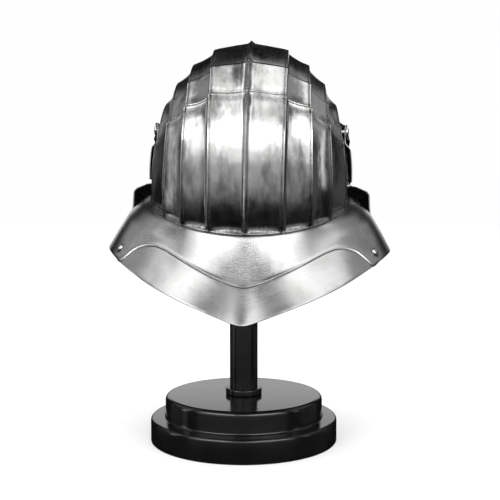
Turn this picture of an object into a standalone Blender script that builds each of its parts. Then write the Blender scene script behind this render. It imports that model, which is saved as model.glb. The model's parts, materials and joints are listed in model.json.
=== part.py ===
"""A fluted close helmet on a round two-step display stand. Metres, +Z up, the helmet's face towards -Y.

The helmet is laid out in its own frame, whose origin is the middle of the line through the two side
pivots. The bevor turns on the skull about that line, and the visor turns on the bevor about it too.
"""

from math import atan2, cos, hypot, pi, radians, sin, sqrt

import bmesh
import bpy
from mathutils import Euler, Matrix, Vector

# Clearances and sheet thicknesses.
FIT_GAP = 0.0003
EDGE_GAP = 0.0004
SKULL_WALL = 0.0014
NECK_WALL = 0.0014
BEVOR_WALL = 0.0011
VISOR_WALL = 0.0010

# How the helmet sits on its stand: pivot height, a little off the post and leaning a little.
PIVOT_HEIGHT = 0.3297
HELMET_OFFSET = -0.0079
HELMET_LEAN = radians(-0.8)

# The skull is an ellipsoid through the tops of its flutes, its centre below the pivots.
SKULL_HALF_WIDTH = 0.105
SKULL_HALF_LENGTH = 0.118
SKULL_HALF_HEIGHT = 0.140
SKULL_DROP = 0.046

# Its edges meet at one point on each side, behind and below the pivot.
CORNER_BACK = -0.010
CORNER_DOWN = -0.066
BROW_ANGLE_FRONT = radians(-53)
BROW_ANGLE_SIDE = radians(-27)
NECK_ANGLE = radians(108.4)

FLUTE_DEPTH = 0.0034
FLUTE_END_NECK = radians(8)
FLUTE_END_BROW = radians(6)
FLUTE_AT_BROW = 0.15
LAP_ANGLE = radians(46)
LAP_ARC = radians(1.5)
LAP_RISE = 0.0012
BEAD_RISE = 0.0014
BEAD_ARC = radians(1.1)

# Ridges from the middle to one side, as shares of the skull's half width.
RIDGES = (
    # at_crown, at_back
    (0.000, 0.000),
    (0.366, 0.343),
    (0.571, 0.603),
    (0.727, 0.796),
    (0.844, 0.950),
)

# One hollow between two ridges, steep at its start, and the one from the last ridge to the corner.
HOLLOW = (
    # share across, share of FLUTE_DEPTH
    (0.11, 0.88),
    (0.45, 0.97),
    (0.78, 0.48),
)
SIDE_HOLLOW = (
    # share across, share of FLUTE_DEPTH
    (0.08, 0.75),
    (0.28, 1.00),
    (0.50, 0.70),
    (0.75, 0.15),
    (1.00, 0.00),
)

# The pivots: a pin through skull, bevor and visor, with a low head outside and a washer inside.
PIN_RADIUS = 0.0028
PIN_HEAD_RADIUS = 0.0054
PIN_HEAD_HEIGHT = 0.0017
PIN_CLEARANCE = 0.0004
ARM_END_RADIUS = 0.0078
ARM_CLEARANCE = 0.0004
HINGE_GAP = 0.0005
ARM_WIDENING = 0.045
ARM_TURN = 0.5
ARM_FLUTE_SHARE = 0.8
PIVOT_BORE = 2.3 * SKULL_HALF_WIDTH
BEVOR_FLAT = 0.0112
VISOR_FLAT = 0.0070
WASHER_GAP = 0.0022
WASHER_HEIGHT = 0.0012

# Where both plates' columns lie near the pivots: ahead of them, and behind them.
COLUMNS_START = 2.4
COLUMNS_AHEAD = (1.5, 0.8, 0.0)
COLUMNS_BEHIND = (0.45, 0.8, 1.0)

# The bevor's outside, down from the pivots.
BEVOR_DEPTH = SKULL_HALF_LENGTH + 0.003
BEVOR_STANDOFF = 0.0026
BEVOR = (
    # share of BEVOR_END_FRONT, share of BEVOR_STANDOFF, share of BEVOR_DEPTH
    (-0.11, 1.0, 0.959),
    (0.09, 1.0, 0.975),
    (0.27, 1.0, 0.992),
    (0.55, 1.0, 1.000),
    (0.77, 0.4, 0.959),
    (1.02, 0.0, 0.876),
)
BEVOR_TOP_FRONT = -0.040
BEVOR_TOP_SIDE = -0.016
BEVOR_END_FRONT = -0.110
BEVOR_END_SIDE = -0.052
BEVOR_BACK = 0.0050
BEVOR_ROWS = (0.0, 0.12, 0.23, 0.33, 0.45, 0.62, 0.81, 1.0)

# The visor's outside, down from above the pivots.
VISOR_DEPTH = SKULL_HALF_LENGTH + 0.0155
VISOR_STANDOFF = 0.0050
VISOR_RIDGE = 0.011
VISOR_RIDGE_TURN = radians(70)
VISOR = (
    # share of VISOR_END_FRONT, share of VISOR_STANDOFF, share of VISOR_DEPTH, share of VISOR_RIDGE
    (-0.49, 1.12, 0.757, 0.00),
    (-0.29, 1.08, 0.809, 0.00),
    (-0.14, 1.04, 0.846, 0.00),
    (0.00, 1.00, 0.876, 0.00),
    (0.13, 1.00, 0.899, 0.18),
    (0.26, 1.00, 0.933, 1.00),
    (0.39, 1.00, 0.948, 0.18),
    (0.51, 1.00, 0.978, 1.00),
    (0.64, 1.00, 0.981, 0.18),
    (0.77, 1.00, 1.000, 0.82),
    (0.90, 1.00, 0.981, 0.09),
    (1.06, 1.04, 0.966, 0.00),
)
VISOR_TOP_FRONT = 0.030
VISOR_TOP_SIDE = 0.012
VISOR_END_FRONT = -0.070
VISOR_END_SIDE = -0.026
SIGHT_HEIGHT = 0.0075
SIGHT_LEVEL = 0.0010
SIGHT_PLACES = (0.012, 0.066)
BREATH_LEVELS = (-0.0225, -0.0405)
BREATH_PLACES = (0.030, 0.046, 0.062)
BREATH_SIZE = (0.009, 0.0040)

# The depths between which the sights and the breaths are cut, as shares of VISOR_DEPTH.
SIGHT_CUT = (0.52, 0.97)
BREATH_CUT = (0.60, 1.12)

# The rear neck plate runs out and down from the skull's rolled edge to this outline.
REAR_SIDE_FLARE = 0.045
REAR_TIP_FLARE = 0.032
REAR_CORNER_DROP = 0.0565
REAR_TIP_DROP = 0.0805
REAR_BEND = 0.30
REAR_EDGE = (
    # share of half width, share of the rise from tip to corner
    (0.00, 0.000),
    (0.04, 0.019),
    (0.10, 0.076),
    (0.25, 0.208),
    (0.40, 0.339),
    (0.60, 0.532),
    (0.80, 0.769),
    (0.90, 0.894),
    (1.00, 1.000),
)
REAR_SHOULDER = (
    # share of the way down, share of the way out at the side
    (0.00, 0.00),
    (0.05, 0.17),
    (0.32, 0.53),
    (0.66, 0.78),
    (1.00, 1.00),
)
REAR_REACH = radians(88)
EMBOSS_RISE = 0.0010
EMBOSS_END = 0.87
EMBOSS_FADE = 0.06
EMBOSS = (
    # share of half width at the edge, share of the way down
    (0.00, 0.592),
    (0.10, 0.588),
    (0.21, 0.560),
    (0.35, 0.517),
    (0.48, 0.478),
    (0.60, 0.448),
    (0.68, 0.460),
    (0.74, 0.530),
    (0.785, 0.650),
    (0.82, 0.880),
    (1.00, 0.880),
)

# The front neck plate's cross-section at the side and in front, from the bevor's lower edge down.
FRONT_SIDE_FLARE = 0.031
FRONT_TIP_DEPTH = 0.157
FRONT_CORNER_LEVEL = -0.114
FRONT_TIP_LEVEL = -0.186
FRONT_PLATE = (
    # share of half width, share of the side's drop, share of the tip's depth, share of the tip's drop
    (0.835, 0.065, 0.713, 0.092),
    (0.923, 0.148, 0.771, 0.250),
    (0.950, 0.218, 0.834, 0.434),
    (0.956, 0.419, 0.898, 0.645),
    (0.971, 0.694, 0.955, 0.842),
    (1.000, 1.000, 1.000, 1.000),
)
FRONT_REACH = radians(82.5)

RIVET_RADIUS = 0.0038
RIVET_RISE = 0.0022
RIVET_SHANK = 0.0018
RIVET_FOOT_RADIUS = 0.0030
RIVET_FOOT_HEIGHT = 0.0010
RIVET_BORE = 8 * NECK_WALL
RIVET_PLACE = (0.705, 0.815)

# The stand, turned about the post. The dome carries the skull from inside.
FOOT_RADIUS = 0.1001
FOOT_HEIGHT = 0.025
FOOT_ROUND = 0.0035
STEP_RADIUS = 0.0843
STEP_HEIGHT = 0.0233
STEP_ROUND = 0.0050
COLLAR_RADIUS = 0.0195
COLLAR_HEIGHT = 0.0065
COLLAR_ROUND = 0.0015
POST_RADIUS = 0.0150
SOCKET_DEPTH = 0.020
DOME_RADIUS = 0.042
DOME_BALL = 0.068
DOME_THICKNESS = 0.026
DOME_DRAFT = 0.0010
DOME_CLEARANCE = 0.0047
DOME_TOP = SKULL_HALF_HEIGHT - SKULL_DROP - FLUTE_DEPTH - SKULL_WALL - DOME_CLEARANCE
CUP_DEPTH = 0.012

STEEL = (0.62, 0.62, 0.63)
BLACK = (0.02, 0.02, 0.021)


def clear_scene():
    for item in list(bpy.data.objects):
        bpy.data.objects.remove(item)


def make_material(name, colour, roughness, metallic):
    material = bpy.data.materials.new(name)
    material.use_nodes = True
    shader = material.node_tree.nodes["Principled BSDF"]
    shader.inputs["Base Color"].default_value = (*colour, 1.0)
    shader.inputs["Roughness"].default_value = roughness
    shader.inputs["Metallic"].default_value = metallic
    return material


def blend(start, end, share):
    return start + (end - start) * share


def smooth(share):
    """0 to 1 with level ends."""
    share = min(1.0, max(0.0, share))
    return share * share * (3 - 2 * share)


def table_value(table, place, column):
    """A column of a table at a place in its first column, which rises or falls all the way."""
    rising = table[-1][0] > table[0][0]
    for near, far in zip(table, table[1:]):
        reached = place <= far[0] if rising else place >= far[0]
        if reached:
            share = (place - near[0]) / (far[0] - near[0])
            return blend(near[column], far[column], max(0.0, share))
    return table[-1][column]


def evenly(count):
    return [step / count for step in range(count + 1)]


def new_object(name, mesh, material, parent):
    item = bpy.data.objects.new(name, mesh)
    bpy.context.scene.collection.objects.link(item)
    item.parent = parent
    if material:
        mesh.materials.append(material)
    return item


def plate(name, columns, rows, place, wall, material, parent):
    """A sheet bent to place(column, row), facing away from the helmet's middle, thickened inwards."""
    mesh = bpy.data.meshes.new(name)
    shape = bmesh.new()
    bmesh.ops.create_grid(shape, x_segments=len(columns) - 1, y_segments=len(rows) - 1, size=0.5)
    for corner in shape.verts:
        across = columns[round((corner.co.x + 0.5) * (len(columns) - 1))]
        down = rows[round((corner.co.y + 0.5) * (len(rows) - 1))]
        corner.co = place(across, down)
    bmesh.ops.remove_doubles(shape, verts=shape.verts, dist=2e-5)
    shape.normal_update()
    largest = max(shape.faces, key=lambda face: face.calc_area())
    if largest.normal.dot(largest.calc_center_median() + Vector((0, 0, SKULL_DROP))) < 0:
        bmesh.ops.reverse_faces(shape, faces=shape.faces)
    shape.to_mesh(mesh)
    shape.free()
    mesh.shade_smooth()
    item = new_object(name, mesh, material, parent)
    thicken = item.modifiers.new("wall", "SOLIDIFY")
    thicken.thickness = wall
    thicken.offset = -1
    return item


def turned(name, profile, sides, material, parent):
    """A closed shape spun about Z from (radius, height) pairs, listed from top to bottom."""
    mesh = bpy.data.meshes.new(name)
    shape = bmesh.new()
    rail = [shape.verts.new((radius, 0, height)) for radius, height in profile]
    edges = [shape.edges.new(pair) for pair in zip(rail, rail[1:])]
    bmesh.ops.spin(
        shape, geom=rail + edges, axis=(0, 0, 1), cent=(0, 0, 0), angle=2 * pi, steps=sides, use_merge=True
    )
    bmesh.ops.remove_doubles(shape, verts=shape.verts, dist=1e-6)
    bmesh.ops.recalc_face_normals(shape, faces=shape.faces)
    shape.to_mesh(mesh)
    shape.free()
    mesh.shade_smooth()
    mesh.set_sharp_from_angle(angle=radians(35))
    return new_object(name, mesh, material, parent)


def rounded_corner(radius, height, bend, steps=3):
    """Points of a top edge rounded by bend, from the flat top to the upright side."""
    turns = [radians(90) * (1 - step / steps) for step in range(steps + 1)]
    return [(radius - bend + bend * cos(turn), height - bend + bend * sin(turn)) for turn in turns]


def low_dome(radius, rise, base, steps=3):
    """Points of a shallow dome standing on base, from its top to its rim."""
    turns = [radians(90) * step / steps for step in range(steps + 1)]
    return [(radius * sin(turn), base + rise * cos(turn)) for turn in turns]


def hide_cutter(item):
    item.hide_render = True
    item.display_type = "WIRE"
    return item


def bar_cutter(name, radius, length, place, direction, parent):
    """A round bar centred on place and lying along direction."""
    profile = ((0, length / 2), (radius, length / 2), (radius, -length / 2), (0, -length / 2))
    item = turned(name, profile, 24, None, parent)
    item.location = place
    item.rotation_euler = direction.to_track_quat("Z", "Y").to_euler()
    return hide_cutter(item)


def box_cutter(name, boxes, parent):
    """Separate boxes in one cutter, each given by its middle and its size."""
    mesh = bpy.data.meshes.new(name)
    shape = bmesh.new()
    for middle, size in boxes:
        bmesh.ops.create_cube(shape, matrix=Matrix.Translation(middle) @ Matrix.Diagonal((*size, 1)))
    shape.to_mesh(mesh)
    shape.free()
    return hide_cutter(new_object(name, mesh, None, parent))


def cut(item, tool):
    step = item.modifiers.new(f"cut_{tool.name}", "BOOLEAN")
    step.operation = "DIFFERENCE"
    step.solver = "EXACT"
    step.object = tool


# The skull.


def on_skull(lean, angle):
    """A point on the ellipsoid, seen from the line through the side corners. angle turns about that
    line from straight up towards the back, and lean tips from the middle plane to the side."""
    axes = Vector((SKULL_HALF_WIDTH, SKULL_HALF_LENGTH, SKULL_HALF_HEIGHT))
    start = Vector((0, CORNER_BACK, CORNER_DOWN))
    way = Vector((sin(lean), cos(lean) * sin(angle), cos(lean) * cos(angle)))
    from_centre = start + Vector((0, 0, SKULL_DROP))
    unit_start = Vector([value / axis for value, axis in zip(from_centre, axes)])
    unit_way = Vector([value / axis for value, axis in zip(way, axes)])
    square = unit_way.dot(unit_way)
    half = unit_way.dot(unit_start)
    reach = (sqrt(half * half - square * (unit_start.dot(unit_start) - 1)) - half) / square
    return start + way * reach


def skull_normal(point):
    return Vector(
        (
            point.x / SKULL_HALF_WIDTH**2,
            point.y / SKULL_HALF_LENGTH**2,
            (point.z + SKULL_DROP) / SKULL_HALF_HEIGHT**2,
        )
    ).normalized()


def ridge_lean(index, angle):
    """How far a ridge leans to the side at an angle; one past the last ridge is the side corner."""
    if index == len(RIDGES):
        return radians(90)
    crown, back = RIDGES[index]
    target = blend(crown, back, sin(max(0.0, angle)) ** 2) * SKULL_HALF_WIDTH
    low, high = 0.0, radians(90)
    for _ in range(30):
        middle = (low + high) / 2
        if on_skull(middle, angle).x < target:
            low = middle
        else:
            high = middle
    return low


def flute_lines():
    """(side, ridge within, share towards the next ridge, depth share) for each line of the skull."""
    half = []
    for index in range(len(RIDGES)):
        hollow = SIDE_HOLLOW if index == len(RIDGES) - 1 else HOLLOW
        half.append((index, 0.0, 0.0))
        half += [(index, across, depth) for across, depth in hollow]
    return [(-1, *line) for line in reversed(half)] + [(1, *line) for line in half[1:]]


def brow_angle(lean):
    return blend(BROW_ANGLE_FRONT, BROW_ANGLE_SIDE, smooth(lean / radians(90)))


def skull_point(line, down):
    """A point on the outside of the skull: line is a flute line, down runs from brow to neck."""
    side, index, across, depth = line
    start = brow_angle(blend(ridge_lean(index, 0.0), ridge_lean(index + 1, 0.0), across))
    angle = blend(start, NECK_ANGLE, down)
    lean = blend(ridge_lean(index, angle), ridge_lean(index + 1, angle), across)
    point = on_skull(lean, angle)
    at_brow = smooth(FLUTE_AT_BROW + (angle - start) / FLUTE_END_BROW)
    fade = at_brow * smooth((NECK_ANGLE - angle) / FLUTE_END_NECK)
    edge = cos(lean)
    lap = LAP_RISE * smooth((angle - LAP_ANGLE) / LAP_ARC) * min(1.0, 2 * edge)
    bead = BEAD_RISE * max(0.0, 1 - abs(NECK_ANGLE - BEAD_ARC - angle) / BEAD_ARC) * min(1.0, 3 * edge)
    point += skull_normal(point) * (lap * fade + bead - FLUTE_DEPTH * depth * fade)
    point.x *= side
    return point


def skull_rows():
    """Steps from brow to neck: even ones, one at the crown, two at the lap and three for the rolled edge."""
    span = NECK_ANGLE - BROW_ANGLE_FRONT
    crown_angle = atan2(-CORNER_BACK, SKULL_HALF_HEIGHT - SKULL_DROP - CORNER_DOWN)
    crown = (crown_angle - BROW_ANGLE_FRONT) / span
    lap = (LAP_ANGLE - BROW_ANGLE_FRONT) / span
    bead = BEAD_ARC / span
    even = [step for step in evenly(13) if min(abs(step - lap), abs(step - crown)) > 0.02 and step < 0.96]
    return sorted(even + [crown, lap - 0.001, lap + 0.010, 0.965, 1 - 2 * bead, 1 - bead, 1.0])


# The bevor and the visor, both hung on the side pivots.


def skull_side(height):
    """Half width of the skull at a height, kept at its widest below its centre."""
    rise = max(0.0, (height + SKULL_DROP) / SKULL_HALF_HEIGHT)
    return SKULL_HALF_WIDTH * sqrt(1 - rise * rise)


def arm_edge(depth, edge, back, sign):
    """Height of a plate's edge at a depth in front of the pivot: an arc round the arm's end that
    runs into edge. sign is 1 above the pivot and -1 below it."""
    turning = ARM_END_RADIUS * ARM_TURN
    if depth < turning:
        return sign * sqrt(max(0.0, ARM_END_RADIUS**2 - max(depth, -back) ** 2))
    start = sign * sqrt(ARM_END_RADIUS**2 - turning**2)
    return blend(start, edge, smooth((depth - turning) / ARM_WIDENING))


def turn_at(depth, front_depth):
    """The turn at which a plate of front_depth reaches a depth in front of the pivots."""
    return atan2(sqrt(front_depth**2 - depth**2), depth)


def hung_turns(front_depth, back, count):
    """Turns from one pivot round the front to the other, close together at the arms' ends."""
    ahead = [turn_at(ARM_END_RADIUS * share, front_depth) for share in COLUMNS_AHEAD]
    behind = [turn_at(-back * share, front_depth) for share in COLUMNS_BEHIND]
    ends = ahead + behind
    near = [turn_at(ARM_END_RADIUS * COLUMNS_START, front_depth) * share for share in evenly(count)]
    return [-turn for turn in reversed(near[1:] + ends)] + near + ends


def bevor_arm():
    """Half width over the bevor's arms, where they lie flat on the skull round the pivots."""
    skull = skull_side(-ARM_END_RADIUS) - ARM_FLUTE_SHARE * FLUTE_DEPTH
    return skull + ARM_CLEARANCE + BEVOR_WALL


def visor_arm():
    return bevor_arm() + HINGE_GAP + VISOR_WALL


def side_width(hugging, arm, depth, height, flat):
    """Half width of a hung plate: at arm round the pivot, out to flat, then eased to hug the skull."""
    away = (hypot(depth, height) - flat) / ARM_END_RADIUS
    return blend(arm, max(hugging, arm), smooth(away))


def bevor_point(turn, down):
    """A point on the bevor's outside. turn is 0 in front; down runs from its top to its end."""
    depth = BEVOR_DEPTH * cos(turn)
    side = smooth(abs(sin(turn)) ** 3)
    top = arm_edge(depth, blend(BEVOR_TOP_FRONT, BEVOR_TOP_SIDE, side), BEVOR_BACK, 1)
    end = blend(BEVOR_END_FRONT, BEVOR_END_SIDE, smooth(1 - cos(turn)))
    height = blend(top, end, down)
    share = height / BEVOR_END_FRONT
    hugging = skull_side(height) + BEVOR_STANDOFF * table_value(BEVOR, share, 1)
    width = side_width(hugging, bevor_arm(), depth, height, BEVOR_FLAT)
    front = BEVOR_DEPTH * table_value(BEVOR, share, 2)
    return Vector((width * sin(turn), -front * cos(turn), height))


def visor_point(turn, down):
    """A point on the visor's outside, laid out like the bevor's."""
    depth = VISOR_DEPTH * VISOR[3][2] * cos(turn)
    side = smooth(abs(sin(turn)) ** 4)
    top = arm_edge(depth, blend(VISOR_TOP_FRONT, VISOR_TOP_SIDE, side), ARM_END_RADIUS, 1)
    end = arm_edge(depth, blend(VISOR_END_FRONT, VISOR_END_SIDE, side), ARM_END_RADIUS, -1)
    height = blend(top, end, down)
    share = height / VISOR_END_FRONT
    hugging = skull_side(height) + VISOR_STANDOFF * table_value(VISOR, share, 1)
    width = side_width(hugging, visor_arm(), depth, height, VISOR_FLAT)
    ridge = VISOR_RIDGE * table_value(VISOR, share, 3) * (1 - smooth(abs(turn) / VISOR_RIDGE_TURN))
    front = VISOR_DEPTH * table_value(VISOR, share, 2) + ridge
    return Vector((width * sin(turn), -front * cos(turn), height))


def cut_range(shares):
    """The middle and the length of a cut between two shares of VISOR_DEPTH."""
    near, far = shares
    return VISOR_DEPTH * (near + far) / 2, VISOR_DEPTH * (far - near)


def visor_openings(parent):
    """The sights, and rows of breaths lower down, as one cutter."""
    near, far = SIGHT_PLACES
    width, height = BREATH_SIZE
    sight_depth, sight_length = cut_range(SIGHT_CUT)
    breath_depth, breath_length = cut_range(BREATH_CUT)
    boxes = []
    for side in (-1, 1):
        middle = (side * (near + far) / 2, -sight_depth, SIGHT_LEVEL)
        boxes.append((middle, (far - near, sight_length, SIGHT_HEIGHT)))
        for level in BREATH_LEVELS:
            for place in BREATH_PLACES:
                boxes.append(((side * place, -breath_depth, level), (width, breath_length, height)))
    return box_cutter("visor_openings", boxes, parent)


# The neck plates.


def rear_outline(turn):
    """The rear plate's lower edge. turn is 0 at the back and 90 degrees at a side."""
    tip_level = on_skull(0, NECK_ANGLE).z - REAR_TIP_DROP
    corner_level = CORNER_DOWN - REAR_CORNER_DROP
    level = blend(tip_level, corner_level, table_value(REAR_EDGE, abs(sin(turn)), 1))
    width = SKULL_HALF_WIDTH + REAR_SIDE_FLARE
    reach = SKULL_HALF_LENGTH + REAR_TIP_FLARE - CORNER_BACK
    return Vector((width * sin(turn), CORNER_BACK + reach * cos(turn), level))


def rear_surface(turn, down):
    top = on_skull(turn, NECK_ANGLE + EDGE_GAP / SKULL_HALF_LENGTH)
    end = rear_outline(turn)
    shoulder = table_value(REAR_SHOULDER, down, 1)
    out = blend(blend(down, down * down, REAR_BEND), shoulder, smooth(2 * abs(sin(turn)) - 1))
    return Vector((blend(top.x, end.x, out), blend(top.y, end.y, out), blend(top.z, end.z, down)))


def facing(surface, across, down):
    """The way a surface faces at a point, on the side away from the post."""
    along = surface(across, down + 0.01) - surface(across, down - 0.01)
    sideways = surface(across + 0.01, down) - surface(across - 0.01, down)
    way = along.cross(sideways).normalized()
    out = surface(across, down)
    return way if way.x * out.x + way.y * out.y > 0 else -way


def rear_point(turn, row):
    """A point on the rear plate, whose border is raised. row is one of rear_rows."""
    below, share, raised = row
    middle = table_value(EMBOSS, abs(sin(turn)), 1)
    down = blend(middle, 1.0, share) if below else middle * share
    rise = EMBOSS_RISE * raised * smooth((EMBOSS_END - abs(sin(turn))) / EMBOSS_FADE)
    return rear_surface(turn, down) + facing(rear_surface, turn, down) * rise


def rear_rows():
    """(below the border's line, share of the way, raised) for each row of the rear plate."""
    above = [(False, share, 0.0) for share in (0.0, 0.10, 0.25, 0.45, 0.65, 0.85, 0.985)]
    below = [(True, share, 1.0) for share in (0.03, 0.30, 0.65, 1.0)]
    return above + below


def front_point(turn, down):
    """A point on the front neck plate: down 0 is the bevor's lower edge."""
    if down == 0:
        return bevor_point(turn, 1.0) - Vector((0, 0, EDGE_GAP))
    place = down * len(FRONT_PLATE) - 1
    near = max(0, min(len(FRONT_PLATE) - 2, int(place)))
    pairs = zip(FRONT_PLATE[near], FRONT_PLATE[near + 1])
    width, side_drop, depth, front_drop = [blend(*pair, place - near) for pair in pairs]
    side_level = blend(BEVOR_END_SIDE, FRONT_CORNER_LEVEL, side_drop)
    front_level = blend(BEVOR_END_FRONT, FRONT_TIP_LEVEL, front_drop)
    level = blend(front_level, side_level, smooth(abs(turn) / FRONT_REACH))
    width *= SKULL_HALF_WIDTH + FRONT_SIDE_FLARE
    return Vector((width * sin(turn), -depth * FRONT_TIP_DEPTH * cos(turn), level))


def add_rivet(name, item, across, down, material, parent):
    """A round-headed rivet with its shank through the rear plate, and its hole."""
    point = rear_surface(across, down)
    way = facing(rear_surface, across, down)
    base = FIT_GAP
    under = -NECK_WALL - FIT_GAP
    profile = low_dome(RIVET_RADIUS, RIVET_RISE, base) + [
        (RIVET_SHANK, base),
        (RIVET_SHANK, under),
        (RIVET_FOOT_RADIUS, under),
        (RIVET_FOOT_RADIUS, under - RIVET_FOOT_HEIGHT),
        (0, under - RIVET_FOOT_HEIGHT),
    ]
    rivet = turned(name, profile, 12, material, parent)
    rivet.location = point
    rivet.rotation_euler = way.to_track_quat("Z", "Y").to_euler()
    cut(item, bar_cutter(f"{name}_hole", RIVET_SHANK + FIT_GAP, RIVET_BORE, point, way, parent))


def add_pivot_pin(name, side, material, parent):
    """A pin through all three plates at one side: washer inside, low head outside."""
    outside = visor_arm() + FIT_GAP
    inside = skull_side(0.0) - FLUTE_DEPTH - SKULL_WALL - WASHER_GAP
    profile = low_dome(PIN_HEAD_RADIUS, PIN_HEAD_HEIGHT, outside) + [
        (PIN_RADIUS, outside),
        (PIN_RADIUS, inside),
        (PIN_HEAD_RADIUS, inside),
        (PIN_HEAD_RADIUS, inside - WASHER_HEIGHT),
        (0, inside - WASHER_HEIGHT),
    ]
    pin = turned(name, profile, 18, material, parent)
    pin.rotation_euler = Euler((0, side * radians(90), 0))


def make_helmet(material):
    seat = bpy.data.objects.new("helmet_seat", None)
    bpy.context.scene.collection.objects.link(seat)
    seat.location = (HELMET_OFFSET, 0, PIVOT_HEIGHT)
    seat.rotation_euler = Euler((0, HELMET_LEAN, 0))
    skull = plate("skull", flute_lines(), skull_rows(), skull_point, SKULL_WALL, material, seat)
    rear_turns = [REAR_REACH * step / 18 for step in range(-18, 19)]
    rear = plate("rear_neck_plate", rear_turns, rear_rows(), rear_point, NECK_WALL, material, seat)
    front_turns = [FRONT_REACH * step / 14 for step in range(-14, 15)]
    front_rows = evenly(len(FRONT_PLATE))
    plate("front_neck_plate", front_turns, front_rows, front_point, NECK_WALL, material, seat)
    bevor_turns = hung_turns(BEVOR_DEPTH, BEVOR_BACK, 10)
    bevor = plate("bevor", bevor_turns, BEVOR_ROWS, bevor_point, BEVOR_WALL, material, seat)
    visor_turns = hung_turns(VISOR_DEPTH * VISOR[3][2], ARM_END_RADIUS, 12)
    visor = plate("visor", visor_turns, evenly(12), visor_point, VISOR_WALL, material, seat)
    bore = bar_cutter("pivot_bore", PIN_RADIUS + PIN_CLEARANCE, PIVOT_BORE, Vector(), Vector((1, 0, 0)), seat)
    for item in (skull, bevor, visor):
        cut(item, bore)
    cut(visor, visor_openings(seat))
    for side, label in ((1, "left"), (-1, "right")):
        across, down = RIVET_PLACE
        add_pivot_pin(f"pivot_pin_{label}", side, material, seat)
        add_rivet(f"neck_rivet_{label}", rear, side * REAR_REACH * across, down, material, seat)


# The stand.


def base_profile():
    top = FOOT_HEIGHT + STEP_HEIGHT
    socket = POST_RADIUS + FIT_GAP
    return (
        [(0, top - SOCKET_DEPTH), (socket, top - SOCKET_DEPTH), (socket, top)]
        + rounded_corner(STEP_RADIUS, top, STEP_ROUND)
        + [(STEP_RADIUS, FOOT_HEIGHT)]
        + rounded_corner(FOOT_RADIUS, FOOT_HEIGHT, FOOT_ROUND)
        + [(FOOT_RADIUS, 0), (0, 0)]
    )


def collar_profile():
    low = FOOT_HEIGHT + STEP_HEIGHT + FIT_GAP
    high = low + COLLAR_HEIGHT
    hole = POST_RADIUS + FIT_GAP
    rim = rounded_corner(COLLAR_RADIUS, high, COLLAR_ROUND, 2)
    return [(hole, high), *rim, (COLLAR_RADIUS, low), (hole, low), (hole, high)]


def post_profile():
    low = FOOT_HEIGHT + STEP_HEIGHT - SOCKET_DEPTH + FIT_GAP
    high = PIVOT_HEIGHT + DOME_TOP - DOME_THICKNESS + CUP_DEPTH - FIT_GAP
    return [(0, high), (POST_RADIUS, high), (POST_RADIUS, low), (0, low)]


def dome_profile():
    """A ball's cap on a short rim, with a socket for the post underneath."""
    top = PIVOT_HEIGHT + DOME_TOP
    under = top - DOME_THICKNESS
    cup = POST_RADIUS + FIT_GAP
    leans = [atan2(DOME_RADIUS, sqrt(DOME_BALL**2 - DOME_RADIUS**2)) * share for share in evenly(5)]
    cap = [(DOME_BALL * sin(lean), top - DOME_BALL * (1 - cos(lean))) for lean in leans]
    roof = under + CUP_DEPTH
    return [*cap, (DOME_RADIUS - DOME_DRAFT, under), (cup, under), (cup, roof), (0, roof)]


def make_stand(material):
    turned("stand_base", base_profile(), 44, material, None)
    turned("stand_collar", collar_profile(), 24, material, None)
    turned("stand_post", post_profile(), 24, material, None)
    turned("support_dome", dome_profile(), 32, material, None)


clear_scene()
make_helmet(make_material("polished_steel", STEEL, 0.22, 1.0))
make_stand(make_material("black_stand", BLACK, 0.35, 0.0))
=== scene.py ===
"""The fluted close helmet on its black stand, lit for a studio portrait from behind. Metres, +Z up."""

import json
from math import asin, atan2, cos, exp, hypot, pi, radians, sin, sqrt

import bmesh
import bpy
from mathutils import Matrix, Vector, noise


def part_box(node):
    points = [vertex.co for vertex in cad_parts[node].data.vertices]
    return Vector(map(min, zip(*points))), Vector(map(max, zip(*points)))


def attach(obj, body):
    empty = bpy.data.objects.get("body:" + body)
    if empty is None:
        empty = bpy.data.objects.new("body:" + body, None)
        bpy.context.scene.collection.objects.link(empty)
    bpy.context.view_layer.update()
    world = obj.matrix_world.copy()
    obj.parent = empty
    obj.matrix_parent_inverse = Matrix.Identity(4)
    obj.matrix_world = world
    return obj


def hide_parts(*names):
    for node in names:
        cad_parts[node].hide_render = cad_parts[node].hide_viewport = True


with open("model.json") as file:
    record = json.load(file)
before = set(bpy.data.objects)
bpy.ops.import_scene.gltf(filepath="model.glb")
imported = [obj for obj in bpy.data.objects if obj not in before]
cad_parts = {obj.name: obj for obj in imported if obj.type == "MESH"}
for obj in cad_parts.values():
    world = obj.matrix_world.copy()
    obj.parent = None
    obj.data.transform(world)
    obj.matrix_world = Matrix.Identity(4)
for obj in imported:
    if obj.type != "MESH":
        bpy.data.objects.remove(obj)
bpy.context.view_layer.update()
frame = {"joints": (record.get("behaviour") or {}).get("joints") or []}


# The stand's base is one turned block of wood in two steps, sprayed with black satin lacquer and rubbed
# down. Its edges are rounded on the lathe, and a small cove runs round the foot of the upper step.

FOOT_RADIUS = 0.1001
FOOT_HEIGHT = 0.025
FOOT_ROUND = 0.0035
STEP_RADIUS = 0.0843
STEP_TOP = 0.0483
STEP_ROUND = 0.0050
COVE = 0.0022
FOOT_EDGE = 0.0006
POST_HOLE = 0.0153
SOCKET_DEPTH = 0.020
TURNED_CORNER = radians(34)

LACQUER = (0.0034, 0.0034, 0.0036)
DUST = (0.0060, 0.0060, 0.0062)
GLOSS_LEVEL = 0.6
PEEL_DEPTH = 0.000004
LACQUER_PATTERNS = {
    # name: repeats per metre along each axis, detail, roughness
    "clouds": ((30, 30, 30), 4.0, 0.55),
    "rubbed": ((140, 140, 140), 5.0, 0.65),
    "peel": ((700, 700, 700), 2.0, 0.55),
}


def evenly(count):
    return [step / count for step in range(count + 1)]


def blend(start, end, share):
    return start + (end - start) * share


def smooth(share):
    """0 to 1 with level ends."""
    share = min(1.0, max(0.0, share))
    return share * share * (3 - 2 * share)


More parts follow.
